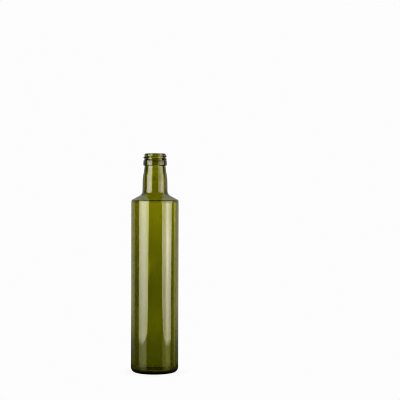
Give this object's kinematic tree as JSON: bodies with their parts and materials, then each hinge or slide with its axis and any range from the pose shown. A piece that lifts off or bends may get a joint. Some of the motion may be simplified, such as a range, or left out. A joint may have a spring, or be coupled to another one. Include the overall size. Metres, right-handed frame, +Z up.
{
  "type": "glass olive oil bottle",
  "caption": "Tall straight-sided green glass oil bottle with a conical shoulder, slightly swelling neck, bead and screw-threaded open mouth.",
  "frame": {"origin": "centre of the standing ring, on the surface that the bottle stands on", "axes": "+Z up along the bottle's axis to the mouth; +X and +Y across the round body, alike on all sides"},
  "size_m": [0.0604, 0.0604, 0.278],
  "materials": {
    "green_glass": "clear olive-green bottle glass, polished"
  },
  "bodies": {
    "root": {"glass_bottle": "green_glass"}
  },
  "joints": []
}
